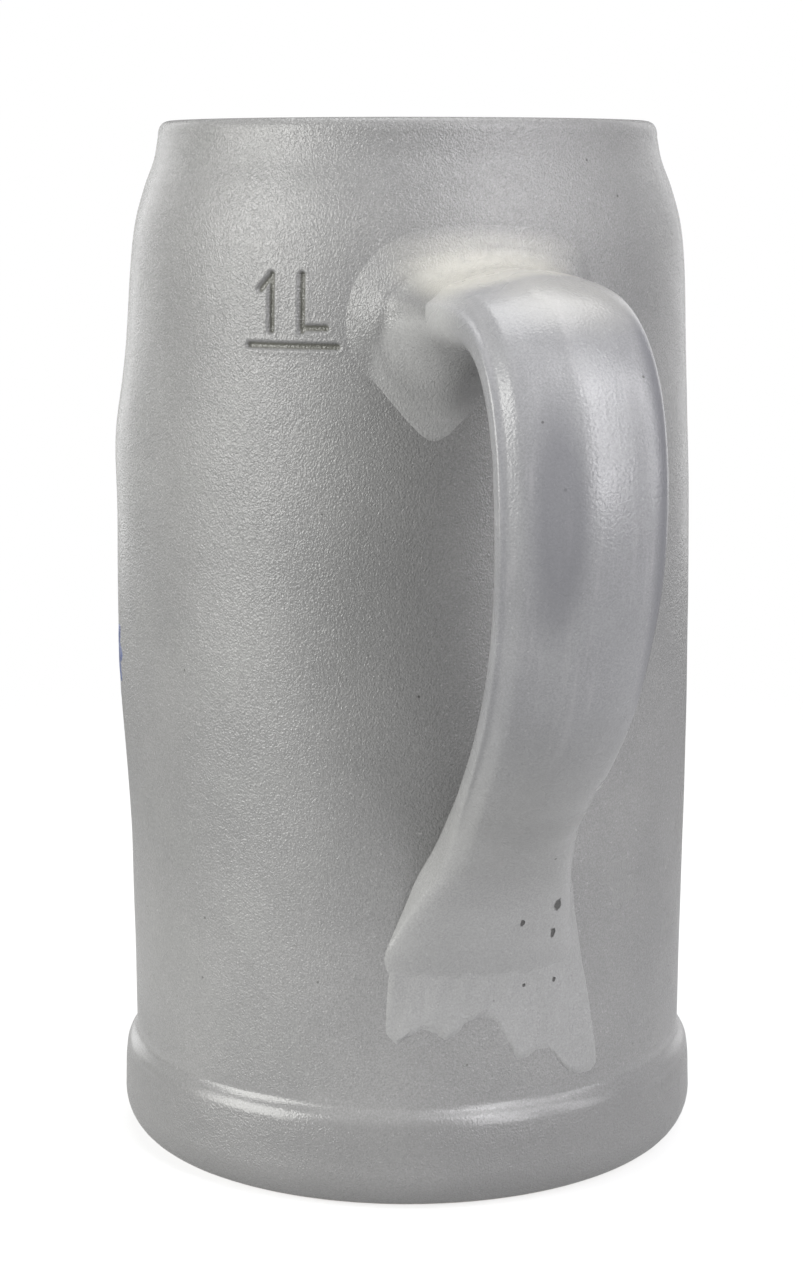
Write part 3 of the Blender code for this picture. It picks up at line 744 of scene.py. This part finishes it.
class Nodes:
    """A material under construction: adds nodes by name and links them in one call."""

    def __init__(self, name):
        self.material = bpy.data.materials.new(name)
        self.material.use_nodes = True
        self.tree = self.material.node_tree
        self.shader = self.tree.nodes["Principled BSDF"]
        self.place = self.add("ShaderNodeTexCoord").outputs["Object"]

    def add(self, kind, inputs=None, **settings):
        node = self.tree.nodes.new(kind)
        for key, value in settings.items():
            setattr(node, key, value)
        for key, value in (inputs or {}).items():
            self.feed(node.inputs[key], value)
        return node

    def feed(self, socket, value):
        if isinstance(value, bpy.types.NodeSocket):
            self.tree.links.new(value, socket)
        else:
            socket.default_value = value

    def mapped(self, scale, shift):
        inputs = {"Vector": self.place, "Scale": scale, "Location": shift}
        return self.add("ShaderNodeMapping", inputs).outputs["Vector"]

    def noise(self, stretch, detail=2.0, roughness=0.5, distortion=0.0, shift=(0.0, 0.0, 0.0)):
        """Noise from 0 to 1. stretch is how many cells there are in a metre on each axis."""
        if not isinstance(stretch, tuple):
            stretch = (stretch,) * 3
        inputs = {"Vector": self.mapped(stretch, shift), "Scale": 1.0, "Detail": detail,
                  "Roughness": roughness, "Distortion": distortion}
        return self.add("ShaderNodeTexNoise", inputs).outputs["Fac"]

    def cells(self, stretch, shift):
        """Distance to the nearest of scattered points, from 0 at a point."""
        inputs = {"Vector": self.mapped((stretch,) * 3, shift), "Scale": 1.0, "Smoothness": 0.0}
        node = self.add("ShaderNodeTexVoronoi", inputs, feature="SMOOTH_F1")
        return node.outputs["Distance"]

    def ramp(self, value, start, end, low=0.0, high=1.0, kind="SMOOTHSTEP"):
        inputs = {"Value": value, "From Min": start, "From Max": end, "To Min": low,
                  "To Max": high}
        return self.add("ShaderNodeMapRange", inputs, interpolation_type=kind).outputs["Result"]

    def maths(self, operation, first, second=0.0):
        node = self.add("ShaderNodeMath", {0: first, 1: second}, operation=operation)
        return node.outputs["Value"]

    def times(self, first, second):
        return self.maths("MULTIPLY", first, second)

    def plus(self, first, second):
        return self.maths("ADD", first, second)

    def minus(self, first, second):
        return self.maths("SUBTRACT", first, second)

    def higher(self, first, second):
        return self.maths("MAXIMUM", first, second)

    def blend(self, share, first, second):
        node = self.add("ShaderNodeMix", {0: share, 6: first, 7: second}, data_type="RGBA")
        return node.outputs[2]

    def near(self, centre, start, end, squash, ragged=1.0):
        """1 near a point, falling to 0 between two distances, which squash scales by axis."""
        offset = self.mapped(squash, tuple(-c * s for c, s in zip(centre, squash)))
        length = self.add("ShaderNodeVectorMath", {0: offset}, operation="LENGTH")
        return self.ramp(self.times(length.outputs["Value"], ragged), end, start)

    def along(self, axis):
        split = self.add("ShaderNodeSeparateXYZ", {"Vector": self.place})
        return split.outputs[axis]

    def bump(self, height, distance, strength=1.0):
        inputs = {"Height": height, "Distance": distance, "Strength": strength}
        return self.add("ShaderNodeBump", inputs).outputs["Normal"]

    def finish(self, **sockets):
        for name, value in sockets.items():
            self.feed(self.shader.inputs[name.replace("_", " ")], value)
        return self.material


def grey(value, warmth=0.0):
    """A grey colour, warmer above 0 and bluer below 0."""
    return (value * (1.0 + warmth), value, value * (1.0 - warmth), 1.0)


# The lighter and the darker clouds of each glaze.
BODY_TONES = (grey(0.272, 0.003), grey(0.238))
WASH_TONES = (grey(0.326), grey(0.293))
SMEAR_TONES = (grey(0.430, 0.002), grey(0.366))
# Painted light: paler than the wash, to lift the tail where it turns down, away from the lights.
TAIL_PAINTED_LIGHT_TONES = (grey(0.360), grey(0.325))
HANDLE_TONES = ((0.310, 0.311, 0.321, 1.0), (0.262, 0.263, 0.273, 1.0))
HANDLE_STREAK = (0.410, 0.402, 0.415, 1.0)
HANDLE_PAINTED_SHADE = (0.165, 0.166, 0.182, 1.0)  # painted shade for the strap's edge and down its middle
# Painted shade for the foot band.
BAND_PAINTED_SHADE = grey(0.170, 0.003)
MARK_DARK = (0.085, 0.085, 0.062, 1.0)
# The slip's cream, also used for a painted highlight on the strap's top.
CREAM_AND_HIGHLIGHT = (0.490, 0.478, 0.440, 1.0)
COBALT_THIN = (0.100, 0.135, 0.285, 1.0)
COBALT_POOLED = (0.028, 0.045, 0.165, 1.0)
GLAZE_IOR = 1.6
PEEL_DEPTH = 0.00016


def cream_and_highlight_mask(nodes, share):
    """Where the thick slip on top of the upper root fired cream-white, and a painted highlight on
    the strap's top beyond it.
    """
    crest = nodes.near((0.0615, -0.0015, 0.1670), 0.55, 1.15, (66.0, 41.0, 175.0))
    haze = nodes.near((0.0530, -0.0010, 0.1695), 0.30, 1.10, (60.0, 50.0, 230.0))
    # A painted highlight on the top of the strap, in the slip's cream colour.
    strap_top_highlight = nodes.near((0.0800, 0.0030, 0.1630), 0.30, 1.15, (55.0, 75.0, 110.0))
    mask = nodes.higher(crest, nodes.times(haze, 0.45))
    mask = nodes.higher(mask, nodes.times(strap_top_highlight, 0.40))
    ragged = nodes.noise(420.0, detail=3.0, roughness=0.6)
    return nodes.times(mask, nodes.ramp(ragged, 0.20, 0.55, 0.72 * share, share))


def glaze_colour(nodes, tones, speckle):
    """Salt-glazed clay: cloudy tone, fine grain, pale flecks and rare dark iron specks."""
    light, dark = tones
    clouds = nodes.noise(38.0, detail=4.0, roughness=0.55, shift=(3.0, 1.0, 2.0))
    colour = nodes.blend(nodes.ramp(clouds, 0.30, 0.70), dark, light)
    grain = nodes.noise(2900.0, detail=2.0, roughness=0.7)
    shade = nodes.ramp(grain, 0.30, 0.70, 1.0 - speckle, 1.0 + speckle)
    tone = nodes.add("ShaderNodeVectorMath", {0: colour, "Scale": shade}, operation="SCALE")
    colour = tone.outputs["Vector"]
    fleck_place = nodes.noise(1900.0, detail=0.0, shift=(9.0, 4.0, 7.0))
    colour = nodes.blend(nodes.ramp(fleck_place, 0.76, 0.84, 0.0, 0.22), colour, grey(0.60))
    specks = nodes.cells(150.0, (5.0, 2.0, 8.0))
    keep = nodes.ramp(nodes.noise(60.0, detail=0.0, shift=(1.0, 6.0, 3.0)), 0.42, 0.60)
    speck = nodes.times(nodes.ramp(specks, 0.050, 0.026), keep)
    return nodes.blend(nodes.times(speck, 0.75), colour, grey(0.055, 0.05))


def orange_peel(nodes, distance, strength=1.0):
    """The fine pebbled skin of a salt glaze, with wrinkles about a third of a millimetre wide."""
    pebbles = nodes.noise((3200.0, 3200.0, 2700.0), detail=1.0, roughness=0.4, distortion=0.4)
    broad = nodes.noise(1300.0, detail=1.0, roughness=0.5, shift=(2.0, 7.0, 1.0))
    height = nodes.plus(pebbles, nodes.times(broad, 0.45))
    return nodes.bump(height, distance, strength)


def cloudy(nodes, stretch, low, high):
    """A roughness that drifts between two values."""
    return nodes.ramp(nodes.noise(stretch, detail=2.0), 0.3, 0.7, low, high)


def glazed(nodes, colour, roughness, normal):
    return nodes.finish(Base_Color=colour, Roughness=roughness, Normal=normal, IOR=GLAZE_IOR)


def mark_mask(nodes):
    """1 in the strokes of the capacity mark, where the glaze pooled darker."""
    turn = nodes.maths("ARCTAN2", nodes.along("Y"), nodes.along("X"))
    radius = float(wall_radius(FILL_HEIGHT))
    around = nodes.times(nodes.minus(turn, MARK_ANGLE), radius)
    height = nodes.along("Z")
    nearest = 1.0
    for start, end in MARK_STROKES:
        run = (end[0] - start[0], end[1] - start[1])
        square = run[0] ** 2 + run[1] ** 2
        aside = nodes.minus(around, start[0])
        above = nodes.minus(height, start[1])
        along = nodes.plus(nodes.times(aside, run[0] / square), nodes.times(above, run[1] / square))
        along = nodes.ramp(along, 0.0, 1.0, kind="LINEAR")
        aside = nodes.minus(aside, nodes.times(along, run[0]))
        above = nodes.minus(above, nodes.times(along, run[1]))
        squares = nodes.plus(nodes.maths("POWER", aside, 2.0), nodes.maths("POWER", above, 2.0))
        nearest = nodes.maths("MINIMUM", nodes.maths("SQRT", squares), nearest)
    return nodes.ramp(nearest, MARK_HALF_STROKE * 1.25, MARK_HALF_STROKE * 0.55)


def body_glaze():
    """The wall, with painted shade on the foot band, and glossier on the band's ledge."""
    nodes = Nodes("salt_glaze_body")
    colour = glaze_colour(nodes, BODY_TONES, 0.13)
    colour = nodes.blend(cream_and_highlight_mask(nodes, 0.55), colour, CREAM_AND_HIGHLIGHT)
    pooled = nodes.times(mark_mask(nodes), 0.72)
    colour = nodes.blend(pooled, colour, MARK_DARK)
    roughness = cloudy(nodes, 90.0, 0.20, 0.28)
    height = nodes.along("Z")
    # Painted shade: the foot band is darkened.
    band = nodes.ramp(height, 0.0180, 0.0150)
    colour = nodes.blend(nodes.times(band, 0.45), colour, BAND_PAINTED_SHADE)
    ledge = nodes.times(nodes.ramp(height, 0.0148, 0.0164), nodes.ramp(height, 0.0215, 0.0195))
    roughness = nodes.minus(roughness, nodes.times(ledge, 0.08))
    strength = nodes.ramp(ledge, 0.0, 1.0, 1.0, 0.35)
    return glazed(nodes, colour, roughness, orange_peel(nodes, PEEL_DEPTH, strength))


def bare_clay():
    """The unglazed underside."""
    nodes = Nodes("unglazed_foot")
    clouds = nodes.noise(70.0, detail=4.0, roughness=0.6)
    colour = nodes.blend(nodes.ramp(clouds, 0.3, 0.7), grey(0.40, 0.09), grey(0.47, 0.07))
    grain = nodes.noise(3000.0, detail=3.0, roughness=0.7)
    colour = nodes.blend(nodes.ramp(grain, 0.55, 0.75, 0.0, 0.35), colour, grey(0.30, 0.10))
    return nodes.finish(Base_Color=colour, Roughness=0.82, Normal=nodes.bump(grain, 0.00008))


# Burst bubbles in the glaze on the tail: centre, half width and half height.
PITS = (
    ((0.0550, 0.0114, 0.0557), 0.00080, 0.00125),
    ((0.0542, 0.0112, 0.0500), 0.00050, 0.00100),
    ((0.0554, 0.0048, 0.0529), 0.00045, 0.00075),
    ((0.0531, 0.0122, 0.0408), 0.00045, 0.00048),
    ((0.0536, 0.0062, 0.0405), 0.00030, 0.00030),
)


def pit_mask(nodes):
    """1 inside the burst glaze bubbles on the tail."""
    total = None
    ragged = nodes.ramp(nodes.noise(1100.0, detail=1.0), 0.3, 0.7, 0.85, 1.20)
    for centre, half_width, half_height in PITS:
        squash = (0.20 / half_width, 1.0 / half_width, 1.0 / half_height)
        pit = nodes.near(centre, 0.65, 1.10, squash, ragged)
        total = pit if total is None else nodes.higher(total, pit)
    return total


def pitted(nodes, colour, relief):
    """A glaze's colour and relief with the burst bubbles dark and hollow in them."""
    pits = pit_mask(nodes)
    colour = nodes.blend(nodes.times(pits, 0.88), colour, grey(0.035, 0.03))
    return colour, nodes.minus(relief, nodes.times(pits, 3.0))


def handle_glaze():
    """The strap: streaked, painted shade on its edge and down its middle, toned in at both ends,
    with painted light on the tail.
    """
    nodes = Nodes("salt_glaze_handle")
    height = nodes.along("Z")
    colour = glaze_colour(nodes, HANDLE_TONES, 0.10)
    streaks = nodes.noise((60.0, 700.0, 60.0), detail=3.0, roughness=0.6)
    above_tail = nodes.ramp(height, 0.060, 0.085)
    streaked = nodes.times(nodes.ramp(streaks, 0.50, 0.75, 0.0, 0.30), above_tail)
    colour = nodes.blend(streaked, colour, HANDLE_STREAK)
    # Painted shade: darker on the +Y edge of the strap's upper arch, where it turns away from the
    # lights, and down the valley of its outer face.
    edge = nodes.ramp(nodes.along("Y"), 0.0098, 0.0122)
    edge = nodes.times(edge, nodes.ramp(height, 0.088, 0.104))
    edge = nodes.times(edge, nodes.ramp(nodes.along("X"), 0.082, 0.092))
    painted_shade = nodes.near((0.1000, -0.0050, 0.1300), 0.45, 1.10, (28.0, 190.0, 45.0))
    painted_shade = nodes.higher(nodes.times(edge, 0.75), nodes.times(painted_shade, 0.60))
    colour = nodes.blend(painted_shade, colour, HANDLE_PAINTED_SHADE)
    root = nodes.near((0.0600, -0.0150, 0.1575), 0.45, 1.15, (50.0, 95.0, 80.0))
    smear = glaze_colour(nodes, SMEAR_TONES, 0.12)
    colour = nodes.blend(root, colour, smear)
    # Painted light: the tail is paler than the wash, lifting it where it turns down, away from the
    # lights.
    tail = glaze_colour(nodes, TAIL_PAINTED_LIGHT_TONES, 0.10)
    colour = nodes.blend(nodes.ramp(height, 0.104, 0.070), colour, tail)
    wash = glaze_colour(nodes, WASH_TONES, 0.10)
    colour = nodes.blend(nodes.ramp(height, 0.0570, 0.0440), colour, wash)
    colour = nodes.blend(cream_and_highlight_mask(nodes, 1.0), colour, CREAM_AND_HIGHLIGHT)
    pebbles = nodes.noise(2100.0, detail=1.0, roughness=0.4)
    relief = nodes.plus(nodes.times(pebbles, 0.55), nodes.times(streaks, 0.30))
    colour, relief = pitted(nodes, colour, relief)
    return glazed(nodes, colour, cloudy(nodes, 110.0, 0.22, 0.31), nodes.bump(relief, 0.00010))


def fan_glaze():
    """The upper slip: like the wall at its outer welt, paler and wiped smoother inside, with painted
    shade in the hollow under the strap's root.
    """
    nodes = Nodes("salt_glaze_upper_slip")
    wiped = nodes.near((0.0540, -0.0098, 0.1495), 0.85, 1.10, (60.0, 85.0, 80.0))
    welt = glaze_colour(nodes, BODY_TONES, 0.13)
    smear = glaze_colour(nodes, SMEAR_TONES, 0.12)
    brush = nodes.noise((900.0, 900.0, 170.0), detail=3.0, roughness=0.6, distortion=0.4)
    smear = nodes.blend(nodes.ramp(brush, 0.52, 0.75, 0.0, 0.35), smear, grey(0.46))
    # Painted shade darkening the hollow under the strap's root.
    hollow = nodes.near((0.0560, -0.0030, 0.1475), 0.30, 1.20, (90.0, 130.0, 110.0))
    smear = nodes.blend(nodes.times(hollow, 0.70), smear, grey(0.200))
    colour = nodes.blend(wiped, welt, smear)
    colour = nodes.blend(cream_and_highlight_mask(nodes, 1.0), colour, CREAM_AND_HIGHLIGHT)
    strength = nodes.ramp(wiped, 0.0, 1.0, 1.0, 0.70)
    roughness = cloudy(nodes, 130.0, 0.21, 0.30)
    return glazed(nodes, colour, roughness, orange_peel(nodes, PEEL_DEPTH, strength))


def wash_glaze():
    """The lower slip, smeared thin and brushed downwards over the wall."""
    nodes = Nodes("salt_glaze_lower_slip")
    colour = glaze_colour(nodes, WASH_TONES, 0.10)
    brush = nodes.noise((900.0, 900.0, 160.0), detail=3.0, roughness=0.6, distortion=0.4)
    colour = nodes.blend(nodes.ramp(brush, 0.55, 0.75, 0.0, 0.18), colour, grey(0.42))
    pebbles = nodes.noise(2100.0, detail=1.0, roughness=0.4)
    relief = nodes.plus(pebbles, nodes.times(brush, 0.4))
    colour, relief = pitted(nodes, colour, relief)
    return glazed(nodes, colour, cloudy(nodes, 130.0, 0.25, 0.34), nodes.bump(relief, 0.00011))


def cobalt_paint():
    """Cobalt brushed on before firing: deep blue where it pooled, grey-blue where it is thin."""
    nodes = Nodes("cobalt_paint")
    pooled = nodes.noise(260.0, detail=3.0, roughness=0.6, distortion=0.5)
    colour = nodes.blend(nodes.ramp(pooled, 0.30, 0.68), COBALT_THIN, COBALT_POOLED)
    grain = nodes.noise(2600.0, detail=2.0, roughness=0.7)
    colour = nodes.blend(nodes.ramp(grain, 0.58, 0.78, 0.0, 0.25), colour, BODY_TONES[0])
    roughness = cloudy(nodes, 120.0, 0.22, 0.32)
    return glazed(nodes, colour, roughness, orange_peel(nodes, PEEL_DEPTH / 2.0))


# ---------------- camera, light and floor

CAMERA_ANGLE = math.radians(-16.2)  # round the mug from the handle
CAMERA_DISTANCE = 0.50398  # from the mug's axis
CAMERA_HEIGHT = 0.18307
CAMERA_TILT = 0.1748  # downwards
CAMERA_TURN = 0.0022  # sideways, off the axis
CAMERA_LENS = 74.82  # millimetres on a 36 mm sensor

LIGHT_DISTANCE = 1.1
WARM = (1.0, 1.0, 0.965)
COOL = (1.0, 0.993, 1.015)
WHITE = (1.0, 1.0, 1.0)
# Degrees round from the camera and up, (width, height), power and colour.
SOFTBOXES = {
    "softbox_left": (-65.0, 18.0, (0.74, 0.90), 13.0, WARM),
    "softbox_right": (38.0, 22.0, (0.36, 1.00), 6.4, COOL),
    "softbox_side": (72.0, 22.0, (0.35, 1.00), 3.1, COOL),
    "softbox_high": (40.0, 52.0, (0.60, 0.50), 2.9, COOL),
    "softbox_top": (175.0, 72.0, (0.75, 0.75), 5.0, WHITE),
    "softbox_back_left": (-146.0, 10.0, (0.50, 0.70), 1.8, WHITE),
    "softbox_back_right": (150.0, 10.0, (0.50, 0.70), 1.1, WHITE),
}
FLOOR_RADIUS = 0.45
FLOOR_SHARE = 0.40  # how much of the floor shows against the white
FLOOR_GLOW = 0.28
WORLD_LIGHT = 0.27
WORLD_WHITE = 1.0


def toward(angle, elevation, distance):
    """A place seen from the mug's foot at an angle round it and an elevation."""
    flat = distance * math.cos(elevation)
    return Vector((flat * math.cos(angle), flat * math.sin(angle), distance * math.sin(elevation)))


def add_camera():
    """The photograph's view: about level with the rim, looking a little down."""
    data = bpy.data.cameras.new("camera")
    data.lens = CAMERA_LENS
    data.sensor_width = 36.0
    data.clip_start = 0.01
    item = add_object("camera", data)
    item.location = toward(CAMERA_ANGLE, 0.0, CAMERA_DISTANCE) + Vector((0.0, 0.0, CAMERA_HEIGHT))
    turn = CAMERA_ANGLE + math.pi / 2.0 + CAMERA_TURN
    item.rotation_euler = (math.pi / 2.0 - CAMERA_TILT, 0.0, turn)
    bpy.context.scene.camera = item


def add_softbox(name, from_camera, elevation, size, power, colour):
    """A rectangular light aimed at the middle of the mug."""
    data = bpy.data.lights.new(name, "AREA")
    data.color = colour
    data.shape = "RECTANGLE"
    data.size, data.size_y = size
    data.energy = power
    item = add_object(name, data)
    angle = CAMERA_ANGLE + math.radians(from_camera)
    target = Vector((0.0, 0.0, MUG_HEIGHT / 2.0))
    item.location = target + toward(angle, math.radians(elevation), LIGHT_DISTANCE)
    item.rotation_euler = (target - item.location).to_track_quat("-Z", "Y").to_euler()
    item.visible_camera = False


def add_floor():
    """A pale round floor that fades out into the white surroundings."""
    bpy.ops.mesh.primitive_circle_add(vertices=96, radius=FLOOR_RADIUS, fill_type="NGON")
    floor = bpy.context.object
    floor.name = "floor"
    nodes = Nodes("pale_floor")
    alpha = nodes.near((0.0, 0.0, 0.0), 0.15, 1.0, (1.0 / FLOOR_RADIUS,) * 3)
    alpha = nodes.times(alpha, FLOOR_SHARE)
    pale = nodes.finish(Base_Color=grey(0.92), Roughness=0.9, Alpha=alpha,
                        Emission_Color=grey(1.0), Emission_Strength=FLOOR_GLOW)
    floor.data.materials.append(pale)


def add_world():
    """White surroundings that light the mug only faintly, so that the softboxes shape it."""
    world = bpy.data.worlds.new("studio")
    bpy.context.scene.world = world
    world.use_nodes = True
    tree = world.node_tree
    background = tree.nodes["Background"]
    seen = tree.nodes.new("ShaderNodeLightPath").outputs["Is Camera Ray"]
    strength = tree.nodes.new("ShaderNodeMapRange")
    strength.inputs["To Min"].default_value = WORLD_LIGHT
    strength.inputs["To Max"].default_value = WORLD_WHITE
    tree.links.new(seen, strength.inputs["Value"])
    tree.links.new(strength.outputs["Result"], background.inputs["Strength"])
    background.inputs["Color"].default_value = grey(1.0)


# ---------------- build

bpy.context.scene.view_settings.view_transform = "Standard"
add_camera()
add_floor()
add_world()
for name, settings in SOFTBOXES.items():
    add_softbox(name, *settings)

body = build_body(body_glaze(), bare_clay())
handle = build_handle(handle_glaze())
upper = build_upper_slip(handle_grid(), fan_glaze())
lower = build_lower_slip(wash_glaze())

for piece, node, slot in (
    (body, "mug_body", "body_stoneware"),
    (handle, "handle_strap", "handle_stoneware"),
    (upper, "upper_joint_slip", "upper_slip"),
    (lower, "lower_joint_slip", "lower_slip"),
):
    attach(piece, "root")
    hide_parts(node)

cobalt = cobalt_paint()
for name, strokes in (
    ("cobalt_flower", flower()),
    ("cobalt_garland_left", garland(-1)),
    ("cobalt_garland_right", garland(1)),
    ("cobalt_sprigs", sprig(1) + sprig(-1)),
):
    piece = closed_piece(name, strokes, cobalt)
    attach(piece, "root")
